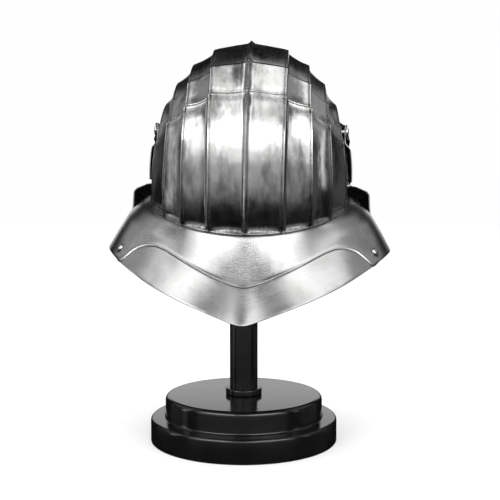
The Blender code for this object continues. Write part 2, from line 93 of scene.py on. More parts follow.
def arc(middle, radius, start, end, steps):
    """(radius, height) points of a round corner seen in section, angles in degrees from outward."""
    turns = [radians(blend(start, end, share)) for share in evenly(steps)]
    return [(middle[0] + radius * cos(turn), middle[1] + radius * sin(turn)) for turn in turns]


def add_node(tree, kind, **settings):
    made = tree.nodes.new(kind)
    for name, value in settings.items():
        setattr(made, name, value)
    return made


def pattern(tree, source, stretch, detail, roughness):
    """Noise over Object or UV coordinates, stretch giving its repeats per metre along each of them."""
    place = add_node(tree, "ShaderNodeTexCoord")
    mapping = add_node(tree, "ShaderNodeMapping")
    mapping.inputs["Scale"].default_value = stretch
    grain = add_node(tree, "ShaderNodeTexNoise")
    grain.inputs["Scale"].default_value = 1.0
    grain.inputs["Detail"].default_value = detail
    grain.inputs["Roughness"].default_value = roughness
    tree.links.new(place.outputs[source], mapping.inputs["Vector"])
    tree.links.new(mapping.outputs["Vector"], grain.inputs["Vector"])
    return grain.outputs["Fac"]


def spread(tree, value, low, high, start, end):
    """Maps a value from low and high to start and end."""
    made = add_node(tree, "ShaderNodeMapRange")
    for name, number in (("From Min", low), ("From Max", high), ("To Min", start), ("To Max", end)):
        made.inputs[name].default_value = number
    tree.links.new(value, made.inputs["Value"])
    return made.outputs["Result"]


def joined(tree, first, second, operation):
    made = add_node(tree, "ShaderNodeMath", operation=operation)
    made.use_clamp = operation != "MULTIPLY"
    tree.links.new(first, made.inputs[0])
    tree.links.new(second, made.inputs[1])
    return made.outputs["Value"]


def tinted(tree, share, first, second):
    """A colour between first and second, each a colour or another node's output."""
    made = add_node(tree, "ShaderNodeMix", data_type="RGBA")
    tree.links.new(share, made.inputs["Factor"])
    for socket, colour in ((made.inputs[6], first), (made.inputs[7], second)):
        if isinstance(colour, tuple):
            socket.default_value = (*colour, 1.0)
        else:
            tree.links.new(colour, socket)
    return made.outputs[2]


def relief(tree, height, distance, under=None):
    made = add_node(tree, "ShaderNodeBump")
    made.inputs["Strength"].default_value = 1.0
    made.inputs["Distance"].default_value = distance
    tree.links.new(height, made.inputs["Height"])
    if under:
        tree.links.new(under, made.inputs["Normal"])
    return made.outputs["Normal"]


def new_material(name, metallic):
    material = bpy.data.materials.new(name)
    material.use_nodes = True
    shader = material.node_tree.nodes["Principled BSDF"]
    shader.inputs["Metallic"].default_value = metallic
    return material, material.node_tree, shader


def black_finish(name, gloss):
    """Black lacquer or paint: gloss is its roughness where it is cleanest."""
    material, tree, shader = new_material(name, 0.0)
    clouds = pattern(tree, "Object", *LACQUER_PATTERNS["clouds"])
    colour = tinted(tree, spread(tree, clouds, 0.45, 0.75, 0, 1), LACQUER, DUST)
    rubbed = pattern(tree, "Object", *LACQUER_PATTERNS["rubbed"])
    peel = pattern(tree, "Object", *LACQUER_PATTERNS["peel"])
    tree.links.new(colour, shader.inputs["Base Color"])
    tree.links.new(spread(tree, rubbed, 0.3, 0.75, gloss, gloss + 0.05), shader.inputs["Roughness"])
    tree.links.new(relief(tree, peel, PEEL_DEPTH), shader.inputs["Normal"])
    shader.inputs["Specular IOR Level"].default_value = GLOSS_LEVEL
    return material


def turned(name, profile, sides):
    """A closed solid spun about Z from (radius, height) pairs, smooth but for its corners."""
    mesh = bpy.data.meshes.new(name)
    shape = bmesh.new()
    rail = [shape.verts.new((radius, 0, height)) for radius, height in profile]
    edges = [shape.edges.new(pair) for pair in zip(rail, rail[1:])]
    bmesh.ops.spin(
        shape, geom=rail + edges, axis=(0, 0, 1), cent=(0, 0, 0), angle=2 * pi, steps=sides, use_merge=True
    )
    bmesh.ops.remove_doubles(shape, verts=shape.verts, dist=1e-6)
    bmesh.ops.recalc_face_normals(shape, faces=shape.faces)
    shape.to_mesh(mesh)
    shape.free()
    mesh.shade_smooth()
    mesh.set_sharp_from_angle(angle=TURNED_CORNER)
    made = bpy.data.objects.new(name, mesh)
    bpy.context.scene.collection.objects.link(made)
    return made


def fit(piece, material, body, slot, *nodes):
    """Gives a piece its material, hangs it on the body it rides on and hides the parts it stands for. slot
    is not used.
    """
    piece.data.materials.append(material)
    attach(piece, body)
    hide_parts(*nodes)


base_profile = [
    (0, STEP_TOP - SOCKET_DEPTH),
    (POST_HOLE, STEP_TOP - SOCKET_DEPTH),
    (POST_HOLE, STEP_TOP),
    *arc((STEP_RADIUS - STEP_ROUND, STEP_TOP - STEP_ROUND), STEP_ROUND, 90, 0, 12),
    *arc((STEP_RADIUS + COVE, FOOT_HEIGHT + COVE), COVE, 180, 270, 8),
    *arc((FOOT_RADIUS - FOOT_ROUND, FOOT_HEIGHT - FOOT_ROUND), FOOT_ROUND, 90, 0, 10),
    *arc((FOOT_RADIUS - FOOT_EDGE, FOOT_EDGE), FOOT_EDGE, 0, -90, 3),
    (0, 0),
]
lacquered_wood = black_finish("black_lacquered_wood", 0.12)
base = turned("turned_base", base_profile, 160)
fit(base, lacquered_wood, "skull_on_stand", "black_lacquered_wood", "stand_base")


# The post is a steel tube painted black, let into the base. A turned collar hides the joint, and a wooden
# dome on its upper end, out of sight inside the skull, carries the helmet.

POST_RADIUS = 0.0150
COLLAR_RADIUS = 0.0195
COLLAR_LOW = STEP_TOP + 0.0003
COLLAR_TOP = COLLAR_LOW + 0.0065
COLLAR_ROUND = 0.0017
COLLAR_FOOT_ROUND = 0.00102
DOME_EDGE = 0.001
DOME_BALL = 0.068
CUP_DEPTH = 0.012

painted_metal = black_finish("black_painted_metal", 0.16)

collar_profile = [
    (POST_HOLE, COLLAR_TOP),
    *arc((COLLAR_RADIUS - COLLAR_ROUND, COLLAR_TOP - COLLAR_ROUND), COLLAR_ROUND, 90, 0, 8),
    *arc((COLLAR_RADIUS - COLLAR_FOOT_ROUND, COLLAR_LOW + COLLAR_FOOT_ROUND), COLLAR_FOOT_ROUND, 0, -90, 5),
    (POST_HOLE, COLLAR_LOW),
    (POST_HOLE, COLLAR_TOP),
]
collar = turned("post_collar", collar_profile, 96)
fit(collar, painted_metal, "skull_on_stand", "black_painted_metal", "stand_collar")

post_low, post_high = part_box("stand_post")
post_profile = [(0, post_high.z), (POST_RADIUS, post_high.z), (POST_RADIUS, post_low.z), (0, post_low.z)]
post = turned("post_tube", post_profile, 96)
fit(post, painted_metal, "skull_on_stand", "black_painted_metal", "stand_post")

dome_low, dome_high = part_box("support_dome")
dome_radius = (dome_high.x - dome_low.x) / 2
dome_lean = asin(dome_radius / DOME_BALL)
dome_cap = [
    (DOME_BALL * sin(dome_lean * share), dome_high.z - DOME_BALL * (1 - cos(dome_lean * share)))
    for share in evenly(16)
]
dome_profile = [
    *dome_cap,
    (dome_radius - DOME_EDGE, dome_low.z),
    (POST_HOLE, dome_low.z),
    (POST_HOLE, dome_low.z + CUP_DEPTH),
    (0, dome_low.z + CUP_DEPTH),
]
dome = turned("wooden_dome", dome_profile, 96)
fit(dome, lacquered_wood, "skull_on_stand", "black_lacquered_wood", "support_dome")


# The skull is one sheet of steel raised over a stake into an egg shape, with ten flutes driven in from the
# outside between narrow raised ribs. Two folds cross it from side to side, and its lower edge is rolled.

MILLIMETRE = 0.001
SKULL_WALL = 0.0014
RIM_SHARE = 0.3
SKULL_HALF_WIDTH = 0.105
SKULL_HALF_LENGTH = 0.118
SKULL_HALF_HEIGHT = 0.140
SKULL_DROP = 0.046
CORNER_BACK = -0.010
CORNER_DOWN = -0.066
BROW_ANGLE_FRONT = radians(-53)
BROW_ANGLE_SIDE = radians(-27)
NECK_ANGLE = radians(108.4)
FLUTE_DEPTH = 0.0034
FLUTE_END_NECK = radians(2.2)
FLUTE_END_BROW = radians(6)
FLUTE_AT_BROW = 0.15
FLUTE_EASE = 0.02
NARROW_FLUTE = 0.012

# Ribs from the middle to one side, as shares of the skull's half width.
RIBS = (
    # at_crown, at_back
    (0.000, 0.000),
    (0.366, 0.343),
    (0.571, 0.603),
    (0.727, 0.796),
    (0.844, 0.950),
)

# A flute drops steeply on the side nearest the middle and rises slowly to the next rib.
FLUTE = (
    # share across, share of FLUTE_DEPTH
    (0.00, 0.00),
    (0.04, 0.40),
    (0.11, 0.88),
    (0.28, 1.00),
    (0.50, 0.93),
    (0.66, 0.74),
    (0.80, 0.45),
    (0.93, 0.08),
    (1.00, 0.00),
)
LAST_FLUTE = (
    # share across, share of FLUTE_DEPTH
    (0.00, 0.00),
    (0.08, 0.75),
    (0.28, 1.00),
    (0.50, 0.70),
    (0.75, 0.15),
    (1.00, 0.00),
)
RIB_RISE = 0.00038
RIB_HALF = 0.0009
RIB_GROOVE = 0.00008
RIB_GROOVE_OFF = 0.0019
RIB_GROOVE_HALF = 0.0005

# The lower fold: the back part laps over the front one with a rounded lip. The upper fold is faint.
FOLD_ANGLE = radians(46)
FOLD_SAG = radians(1.1)
FOLD_WAVER = radians(0.7)
WAVER_SPACING = 0.016
FAINT_ANGLE_MIDDLE = radians(30.5)
FAINT_ANGLE_SIDE = radians(38)
FAINT_RISE = 0.0009
FAINT_STEP = 0.0016
FAINT_FALL = 0.022
FOLD_EASE = 0.3
FOLD = (
    # distance below the seam in millimetres, rise in millimetres
    (-3.0, 0.00),
    (-1.2, -0.05),
    (-0.5, -0.35),
    (0.3, 0.60),
    (1.0, 1.45),
    (2.0, 1.72),
    (3.2, 1.58),
    (5.0, 1.26),
    (8.0, 1.20),
)
ROLL_ARC = radians(0.65)
ROLL_RISE = 0.0012
HAMMERED = (
    # height of the dents, their spacing
    (0.00028, 0.024),
    (0.00006, 0.009),
)

# How soon each form fades out towards the side corners.
FOLD_FADE = 2
ROLL_FADE = 3
DENT_FADE = 4

# Shade is painted in lines along the folds, the ribs and the roll, each with a middle, a half width and a
# darkness.
FOLD_PAINTED_SHADE = (
    # millimetres below the seam, half width, darkness
    (-2.60, 1.6, 0.27),
    (-0.35, 0.6, 0.90),
    (6.00, 3.0, 0.50),
)
BEFORE_RIB_PAINTED_SHADE = (
    # distance to the next rib, half width, darkness
    (RIB_GROOVE_OFF, RIB_GROOVE_HALF, 0.45),
    (0.0026, 0.0014, 0.45),
)
PAST_RIB_PAINTED_SHADE = (
    # distance from the last rib, half width, darkness
    (0.0018, 0.0009, 0.27),
)
ROLL_PAINTED_SHADE = (
    # arcs of the roll above the edge, half width, darkness
    (0.0, 13.85, 0.25),
    (3.2, 1.9, 0.45),
)
# Painted shade darkens the crown above the faint fold.
CROWN_PAINTED_SHADE = 0.25
CROWN_FADE = 0.004

STEEL = (0.66, 0.66, 0.655)
DULL_STEEL = (0.42, 0.42, 0.415)
# The colour of the painted shade.
PAINTED_SHADE_COLOUR = (0.030, 0.028, 0.026)
SMUDGE = (0.075, 0.075, 0.073)
STEEL_PATTERNS = {
    # name: repeats per metre along each axis, detail, roughness
    "clouds": ((22, 22, 22), 4.0, 0.6),
    "specks": ((420, 420, 420), 3.0, 0.7),
    "patches": ((55, 55, 55), 2.0, 0.5),
    "smudges": ((44, 44, 17), 3.0, 0.6),
}
MARK_DETAIL = 4.0
MARK_ROUGHNESS = 0.6
CLOUD_RANGE = (0.35, 0.70)
# How much rougher the steel is where shade is painted.
ROUGHNESS_IN_SHADE = 0.25
QUARTER_TURN = 0.25
EASE_STEPS = 4
MERGE_DISTANCE = 1e-5
RIM_CORNER = radians(50)

lift = frame["joints"][0]
across_helmet = -Vector(lift["axis"]).normalized()
back_of_helmet = Vector((0, 1, 0))
up_of_helmet = across_helmet.cross(back_of_helmet)
seat = Matrix((across_helmet, back_of_helmet, up_of_helmet)).transposed().to_4x4()
seat.translation = Vector(lift["pos_m"])


def table_value(table, place, column):
    """A column of a table at a place in its first column, which rises all the way."""
    for near, far in zip(table, table[1:]):
        if place <= far[0]:
            share = (place - near[0]) / (far[0] - near[0])
            return blend(near[column], far[column], max(0.0, share))
    return table[-1][column]


def eased_value(table, place, column, reach, mirrored=False):
    """table_value with its corners rounded off within reach. A mirrored table runs both ways from 0."""
    total = 0.0
    for step in range(-EASE_STEPS, EASE_STEPS + 1):
        near = place + reach * step / EASE_STEPS
        total += table_value(table, abs(near) if mirrored else near, column) * (EASE_STEPS + 1 - abs(step))
    return total / (EASE_STEPS + 1) ** 2


def mound(place, middle, half_width):
    """1 at the middle, dying away smoothly on both sides."""
    return exp(-(((place - middle) / half_width) ** 2))


# Sums the shade painted in lines at a place.
def painted_shade_at(lines, place):
    return sum(darkness * mound(place, middle, half_width) for middle, half_width, darkness in lines)


def on_skull(lean, angle):
    """A point on the skull's egg shape, seen from the line through its side corners. angle turns about
    that line from straight up towards the back, and lean tips from the middle to the side."""
    high = CORNER_DOWN + SKULL_DROP
    way = (sin(lean), cos(lean) * sin(angle), cos(lean) * cos(angle))
    unit_way = (way[0] / SKULL_HALF_WIDTH, way[1] / SKULL_HALF_LENGTH, way[2] / SKULL_HALF_HEIGHT)
    unit_start = (0.0, CORNER_BACK / SKULL_HALF_LENGTH, high / SKULL_HALF_HEIGHT)
    square = sum(value * value for value in unit_way)
    half = sum(first * second for first, second in zip(unit_way, unit_start))
    rest = sum(value * value for value in unit_start) - 1
    reach = (sqrt(half * half - square * rest) - half) / square
    return Vector((way[0] * reach, CORNER_BACK + way[1] * reach, CORNER_DOWN + way[2] * reach))


def skull_normal(point):
    return Vector(
        (
            point.x / SKULL_HALF_WIDTH**2,
            point.y / SKULL_HALF_LENGTH**2,
            (point.z + SKULL_DROP) / SKULL_HALF_HEIGHT**2,
        )
    ).normalized()


def rib_lean(index, angle):
    """How far a rib leans to the side at an angle; one past the last rib is the side corner."""
    if index == len(RIBS):
        return radians(90)
    crown, back = RIBS[index]
    share = blend(crown, back, sin(max(0.0, angle)) ** 2)
    high = CORNER_DOWN + SKULL_DROP
    down, out = cos(angle) / SKULL_HALF_HEIGHT, sin(angle) / SKULL_HALF_LENGTH
    unit_back, unit_high = CORNER_BACK / SKULL_HALF_LENGTH, high / SKULL_HALF_HEIGHT
    square = down * down + out * out
    half = out * unit_back + down * unit_high
    rest = share * share + unit_back**2 + unit_high**2 - 1
    reach = (sqrt(half * half - square * rest) - half) / square
    return atan2(share * SKULL_HALF_WIDTH, reach)


def flute_share(index, across):
    """How deep a flute is at a share of the way across it, as a share of FLUTE_DEPTH."""
    return eased_value(LAST_FLUTE if index == len(RIBS) - 1 else FLUTE, across, 1, FLUTE_EASE)


def waver(place, line):
    """How a fold wanders at a place along it, from -1 to 1. line tells the folds apart."""
    return noise.noise(Vector((place, line, 0.3)))


def skull_angle(line, row):
    """The angle of a row on a line. row is (stretch, share): brow to faint fold, to fold, to neck."""
    side, index, across = line
    lean = blend(rib_lean(index, 0.0), rib_lean(index + 1, 0.0), across)
    sideways = smooth(lean / radians(90))
    sag = FOLD_SAG * flute_share(index, across)
    place = side * lean * SKULL_HALF_WIDTH / WAVER_SPACING
    stops = (
        blend(BROW_ANGLE_FRONT, BROW_ANGLE_SIDE, sideways),
        blend(FAINT_ANGLE_MIDDLE, FAINT_ANGLE_SIDE, sideways) + sag + FOLD_WAVER * waver(place, 5.0),
        FOLD_ANGLE + sag + FOLD_WAVER * waver(place, 0.0),
        NECK_ANGLE,
    )
    stretch, share = row
    return blend(stops[stretch], stops[stretch + 1], share), stops


def skull_surface(line, row):
    """(point outside the skull, painted shade there) for a line across and a row down."""
    side, index, across = line
    angle, (start, faint, seam_angle, _) = skull_angle(line, row)
    near_lean, far_lean = rib_lean(index, angle), rib_lean(index + 1, angle)
    lean = blend(near_lean, far_lean, across)
    point = on_skull(lean, angle)
    width = (on_skull(far_lean, angle) - on_skull(near_lean, angle)).length
    from_rib = across * width
    to_next = (1 - across) * width if index < len(RIBS) - 1 else 1.0
    reach = (point - Vector((0, CORNER_BACK, CORNER_DOWN))).length
    below_fold = (angle - seam_angle) * reach / MILLIMETRE
    below_faint = (angle - faint) * reach
    above_edge = (NECK_ANGLE - angle) / ROLL_ARC

    at_brow = smooth(FLUTE_AT_BROW + (angle - start) / FLUTE_END_BROW)
    at_neck = smooth((NECK_ANGLE - ROLL_ARC - angle) / FLUTE_END_NECK)
    wide = min(1.0, width / NARROW_FLUTE)
    fold_fade, roll_fade, dent_fade = (
        min(1.0, fade * cos(lean)) for fade in (FOLD_FADE, ROLL_FADE, DENT_FADE)
    )

    ribs = mound(from_rib, 0, RIB_HALF) + mound(to_next, 0, RIB_HALF)
    groove = mound(to_next, RIB_GROOVE_OFF, RIB_GROOVE_HALF)
    rise = RIB_RISE * (ribs - 1) - RIB_GROOVE * groove
    rise = (rise * wide - FLUTE_DEPTH * flute_share(index, across)) * at_brow * at_neck
    fold = eased_value(FOLD, below_fold, 1, FOLD_EASE) * MILLIMETRE
    rise += fold * fold_fade * smooth((NECK_ANGLE - angle) / FLUTE_END_NECK)
    rise += FAINT_RISE * (smooth(below_faint / FAINT_STEP) - smooth(below_faint / FAINT_FALL)) * fold_fade
    rise += ROLL_RISE * sqrt(max(0.0, 1 - (above_edge - 1) ** 2)) * roll_fade
    shift = Vector((side, 0, 0))
    dents = sum(height * noise.noise(point / spacing + shift) for height, spacing in HAMMERED)
    rise += dents * at_neck * at_brow * dent_fade
    point += skull_normal(point) * rise
    point.x *= side

    # Painted shade: darker beside the ribs, along the folds, near the roll and over the crown.
    wear_and_painted_shade = (painted_shade_at(BEFORE_RIB_PAINTED_SHADE, to_next) + painted_shade_at(PAST_RIB_PAINTED_SHADE, from_rib)) * wide
    wear_and_painted_shade += painted_shade_at(FOLD_PAINTED_SHADE, below_fold) * fold_fade + painted_shade_at(ROLL_PAINTED_SHADE, above_edge)
    wear_and_painted_shade += CROWN_PAINTED_SHADE * (1 - smooth(below_faint / CROWN_FADE))
    return point, min(1.0, wear_and_painted_shade * at_brow)


def sheet_metal(name, columns, rows, surface, wall, unrolled):
    """A steel sheet bent to surface(column, row), which gives a point and the shade painted there. unrolled
    gives each column's and row's place on the flat sheet, for the polishing marks."""
    mesh = bpy.data.meshes.new(name)
    shape = bmesh.new()
    bmesh.ops.create_grid(shape, x_segments=len(columns) - 1, y_segments=len(rows) - 1, size=0.5)
    marks = shape.loops.layers.uv.new("unrolled")
    # Each point keeps the shade painted there.
    painted_shade_layer = shape.verts.layers.float.new("painted_shade_layer")
    wide, tall = unrolled
    flat = {}
    for corner in shape.verts:
        across = round((corner.co.x + 0.5) * (len(columns) - 1))
        down = round((corner.co.y + 0.5) * (len(rows) - 1))
        point, painted_shade = surface(columns[across], rows[down])
        corner.co = seat @ point
        corner[painted_shade_layer] = painted_shade
        flat[corner.index] = (wide[across], tall[down])
    for face in shape.faces:
        for loop in face.loops:
            loop[marks].uv = flat[loop.vert.index]
    bmesh.ops.remove_doubles(shape, verts=shape.verts, dist=MERGE_DISTANCE)
    bmesh.ops.dissolve_degenerate(shape, edges=shape.edges, dist=MERGE_DISTANCE / 10)
    shape.normal_update()
    largest = max(shape.faces, key=lambda face: face.calc_area())
    middle = seat @ Vector((0, 0, -SKULL_DROP))
    if largest.normal.dot(largest.calc_center_median() - middle) < 0:
        bmesh.ops.reverse_faces(shape, faces=shape.faces)
    shape.to_mesh(mesh)
    shape.free()
    mesh.shade_smooth()
    made = bpy.data.objects.new(name, mesh)
    bpy.context.scene.collection.objects.link(made)
    thicken = made.modifiers.new("wall", "SOLIDIFY")
    thicken.thickness = wall
    thicken.offset = -1
    rim = made.modifiers.new("rim", "BEVEL")
    rim.width = wall * RIM_SHARE
    rim.segments = 2
    rim.limit_method = "ANGLE"
    rim.angle_limit = RIM_CORNER
    return made


def steel_finish(name, clean, dull, grain, rough, depths, smudged, brushed):
    """Bare steel. grain is how many polishing marks lie in a metre across and down the flat sheet, depths
    are the marks' and the dents' depths, smudged is how strongly dark patches show, and brushed is how far
    the marks draw reflections out, down the sheet."""
    material, tree, shader = new_material(name, 1.0)
    painted_shade = add_node(tree, "ShaderNodeAttribute", attribute_name="painted_shade_layer").outputs["Fac"]
    kinds = ("clouds", "specks", "patches", "smudges")
    clouds, specks, patches, smudges = (pattern(tree, "Object", *STEEL_PATTERNS[kind]) for kind in kinds)
    marks = pattern(tree, "UV", (*grain, 1.0), MARK_DETAIL, MARK_ROUGHNESS)
    wear_and_painted_shade = tinted(tree, spread(tree, clouds, *CLOUD_RANGE, 0, 1), clean, dull)
    wear_and_painted_shade = tinted(tree, spread(tree, smudges, 0.50, 0.68, 0, smudged), wear_and_painted_shade, SMUDGE)
    streaked = tinted(tree, spread(tree, marks, 0.35, 0.75, 0, 0.35), wear_and_painted_shade, dull)
    # Painted shade, broken up by specks, darkens the colour and roughens the surface.
    painted_shade_mask = joined(tree, painted_shade, spread(tree, specks, 0.30, 0.62, 0.55, 1.25), "MULTIPLY")
    tree.links.new(tinted(tree, painted_shade_mask, streaked, PAINTED_SHADE_COLOUR), shader.inputs["Base Color"])
    low, high = rough
    streaks = spread(tree, marks, 0.30, 0.75, 0.0, 0.06)
    roughness = joined(tree, spread(tree, clouds, *CLOUD_RANGE, low, high), streaks, "ADD")
    roughness_in_shade = spread(tree, painted_shade, 0, 1, 0, ROUGHNESS_IN_SHADE)
    tree.links.new(joined(tree, roughness, roughness_in_shade, "ADD"), shader.inputs["Roughness"])
    if brushed:
        along = add_node(tree, "ShaderNodeTangent", direction_type="UV_MAP", uv_map="unrolled")
        tree.links.new(along.outputs["Tangent"], shader.inputs["Tangent"])
        shader.inputs["Anisotropic"].default_value = brushed
        shader.inputs["Anisotropic Rotation"].default_value = QUARTER_TURN
    dented = relief(tree, patches, depths[1])
    tree.links.new(relief(tree, marks, depths[0], dented), shader.inputs["Normal"])
    return material


# Columns lie close together at each rib and along the flute's steep side.
near_rib = (0.0, 0.012, 0.024, 0.037, 0.052, 0.068, 0.086, 0.108, 0.135)
mid_flute = (0.17, 0.22, 0.29, 0.37, 0.45, 0.53, 0.61, 0.69, 0.76, 0.82)
near_next = (0.855, 0.875, 0.892, 0.908, 0.925, 0.942, 0.958, 0.974, 0.988)
flute_steps = near_rib + mid_flute + near_next
half_lines = [(index, across) for index in range(len(RIBS)) for across in flute_steps]
half_lines.append((len(RIBS) - 1, 1.0))
skull_lines = [(-1, *line) for line in reversed(half_lines)] + [(1, *line) for line in half_lines[1:]]

close_above = (0.955, 0.970, 0.980, 0.988, 0.994)
front_rows = [(0, share) for share in evenly(48) if share < 0.95] + [(0, share) for share in close_above]
fold_above = (0.90, 0.925, 0.94, 0.955, 0.965, 0.975, 0.985, 0.993)
between_rows = [(1, share) for share in (0.0, 0.02, 0.04, 0.06, 0.09, 0.13)]
between_rows += [(1, blend(0.13, 0.88, share)) for share in evenly(12)[1:]]
between_rows += [(1, share) for share in fold_above]
below_fold_steps = (0.0, 0.001, 0.002, 0.004, 0.006, 0.008, 0.011, 0.014, 0.018, 0.023, 0.030)
roll_start = 1 - 2 * ROLL_ARC / (NECK_ANGLE - FOLD_ANGLE)
back_rows = [(2, share) for share in below_fold_steps]
back_rows += [(2, blend(0.030, roll_start - 0.012, share)) for share in evenly(46)[1:]]
back_rows += [(2, roll_start - 0.006)]
roll_turns = [radians(180) * (1 - share) for share in evenly(10)]
back_rows += [(2, blend(roll_start, 1.0, (1 + cos(turn)) / 2)) for turn in roll_turns]
skull_row_list = front_rows + between_rows + back_rows

low_angle = radians(70)
skull_wide = []
for side, index, across in skull_lines:
    lean = blend(rib_lean(index, low_angle), rib_lean(index + 1, low_angle), across)
    skull_wide.append(side * lean * SKULL_HALF_WIDTH)
middle_line = (1, 0, 0.0)
skull_tall = [skull_angle(middle_line, row)[0] * SKULL_HALF_HEIGHT for row in skull_row_list]

polished_steel = steel_finish(
    "polished_skull_steel", STEEL, DULL_STEEL, (420, 26), (0.12, 0.20), (0.000014, 0.00026), 0.85, 0.0
)
skull_flat = (skull_wide, skull_tall)
skull = sheet_metal("fluted_skull", skull_lines, skull_row_list, skull_surface, SKULL_WALL, skull_flat)
fit(skull, polished_steel, "skull_on_stand", "polished_steel", "skull")


# The rear neck plate is a separate sheet, flared out and down from the skull's roll to a blunt point. It is
# brushed along its width, and a line chased from the front sets off its lower border in an S curve.

NECK_WALL = 0.0014
EDGE_GAP = 0.0004
REAR_HALF_WIDTH = SKULL_HALF_WIDTH + 0.045
REAR_REACH_BACK = SKULL_HALF_LENGTH + 0.032 - CORNER_BACK
REAR_CORNER_LEVEL = CORNER_DOWN - 0.0565
REAR_TIP_DROP = 0.0805
REAR_BEND = 0.30
NEARBY = 0.01
REAR_REACH = radians(88)
REAR_EDGE = (
    # share of half width, share of the rise from tip to corner
    (0.00, 0.000),
    (0.04, 0.019),
    (0.10, 0.076),
    (0.25, 0.208),
    (0.40, 0.339),
    (0.60, 0.532),
    (0.80, 0.769),
    (0.90, 0.894),
    (1.00, 1.000),
)
REAR_SHOULDER = (
    # share of the way down, share of the way out at the side
    (0.00, 0.00),
    (0.05, 0.17),
    (0.32, 0.53),
    (0.66, 0.78),
    (1.00, 1.00),
)
CHASED_LINE = (
    # share of half width at the edge, share of the way down
    (0.00, 0.592),
    (0.10, 0.588),
    (0.21, 0.560),
    (0.35, 0.517),
    (0.48, 0.478),
    (0.60, 0.448),
    (0.68, 0.460),
    (0.74, 0.530),
    (0.785, 0.650),
    (0.815, 0.840),
    (0.83, 1.000),
)
CHASED = (
    # distance below the line in millimetres, rise in millimetres
    (-3.0, 0.00),
    (-1.9, 0.36),
    (-0.8, 0.80),
    (-0.2, 0.40),
    (0.3, -0.25),
    (0.8, 0.15),
    (1.5, 0.60),
    (2.5, 0.66),
)
CHASED_EASE = 0.25
LINE_EASE = 0.02
LINE_END = 0.985
STEEPEST = 3.0
BORDER_FADE = (0.85, 0.90)
RIPPLE_HEIGHT = 0.00010
RIPPLE_SPACING = 0.045
# Painted shade in the chased line's groove.
CHASED_PAINTED_SHADE = (
    # millimetres below the line, half width, darkness
    (0.35, 0.42, 0.85),
)
# Painted shade along the upper edge, under the skull's roll.
TOP_PAINTED_SHADE = (
    # distance below the upper edge, half width, darkness
    (0.0, 0.0016, 0.25),
)
RIVET_PLACE = (0.705, 0.815)
# Painted shade in a ring round each rivet's head.
RIVET_PAINTED_SHADE = (
    # distance from the rivet's middle, half width, darkness
    (0.0046, 0.0009, 0.80),
)
OUTLINE_EASE = 0.06
SHOULDER_EASE = 0.05
REAR_TALL = 0.09
REAR_TALL_ABOVE = 0.054
BRUSHED = (0.60, 0.60, 0.597)
BRUSHED_DULL = (0.47, 0.47, 0.466)


def rear_outline(turn):
    """The rear plate's lower edge. turn is 0 at the back and 90 degrees at a side."""
    tip_level = on_skull(0, NECK_ANGLE).z - REAR_TIP_DROP
    level = blend(tip_level, REAR_CORNER_LEVEL, eased_value(REAR_EDGE, sin(turn), 1, OUTLINE_EASE, True))
    return Vector((REAR_HALF_WIDTH * sin(turn), CORNER_BACK + REAR_REACH_BACK * cos(turn), level))


def rear_sheet(turn, down):
    top = on_skull(turn, NECK_ANGLE + EDGE_GAP / SKULL_HALF_LENGTH)
    end = rear_outline(turn)
    shoulder = eased_value(REAR_SHOULDER, down, 1, SHOULDER_EASE)
    out = blend(blend(down, down * down, REAR_BEND), shoulder, smooth(2 * abs(sin(turn)) - 1))
    return Vector((blend(top.x, end.x, out), blend(top.y, end.y, out), blend(top.z, end.z, down)))


def facing(surface, across, down):
    """The way a surface faces at a point, on the side away from the post."""
    along = surface(across, down + NEARBY) - surface(across, down - NEARBY)
    sideways = surface(across + NEARBY, down) - surface(across - NEARBY, down)
    way = along.cross(sideways).normalized()
    out = surface(across, down)
    return way if way.x * out.x + way.y * out.y > 0 else -way


def chased_level(place):
    """How far down the chased line runs, at a place from the middle to either side."""
    return eased_value(CHASED_LINE, place, 1, LINE_EASE, True)


def rear_surface(turn, row):
    """(point, painted shade) on the rear plate. row is (below the chased line, share of the way to or from
    it).
    """
    below, share = row
    place = sin(turn)
    line = min(LINE_END, chased_level(place))
    tall = (rear_sheet(turn, 1.0) - rear_sheet(turn, 0.0)).length
    down = blend(line, 1.0, share) if below else line * share
    slope = (chased_level(place + NEARBY) - chased_level(place - NEARBY)) / (2 * NEARBY)
    steep = min(STEEPEST, abs(slope) * tall / (REAR_HALF_WIDTH * max(0.2, cos(turn))))
    from_line = (down - line) * tall / MILLIMETRE / hypot(1, steep)
    border = 1 - smooth((abs(place) - BORDER_FADE[0]) / (BORDER_FADE[1] - BORDER_FADE[0]))
    rise = eased_value(CHASED, from_line, 1, CHASED_EASE) * MILLIMETRE * border
    point = rear_sheet(turn, down)
    ripple = RIPPLE_HEIGHT * noise.noise(point / RIPPLE_SPACING)
    from_rivet = (point - rear_rivets[1 if turn > 0 else -1]).length
    # Painted shade at the chased line, along the upper edge and round the rivets.
    painted_shade = painted_shade_at(CHASED_PAINTED_SHADE, from_line) * border
    painted_shade += painted_shade_at(TOP_PAINTED_SHADE, down * tall) + painted_shade_at(RIVET_PAINTED_SHADE, from_rivet)
    return point + facing(rear_sheet, turn, down) * (rise + ripple), min(1.0, painted_shade)


rear_rivets = {side: rear_sheet(side * REAR_REACH * RIVET_PLACE[0], RIVET_PLACE[1]) for side in (-1, 1)}
rear_turns = [REAR_REACH * step / 110 for step in range(-110, 111)]
above_line = [(False, share) for share in evenly(22)[:-1]]
above_line += [(False, share) for share in (0.965, 0.972, 0.979, 0.986, 0.993)]
below_line = [(True, share) for share in (0.0, 0.006, 0.012, 0.020, 0.028, 0.037, 0.047, 0.060)]
below_line += [(True, blend(0.06, 1.0, share)) for share in evenly(16)[1:]]
rear_row_list = above_line + below_line
rear_wide = [turn * REAR_HALF_WIDTH for turn in rear_turns]
rear_tall = []
for below, share in rear_row_list:
    rear_tall.append(blend(REAR_TALL_ABOVE, REAR_TALL, share) if below else REAR_TALL_ABOVE * share)

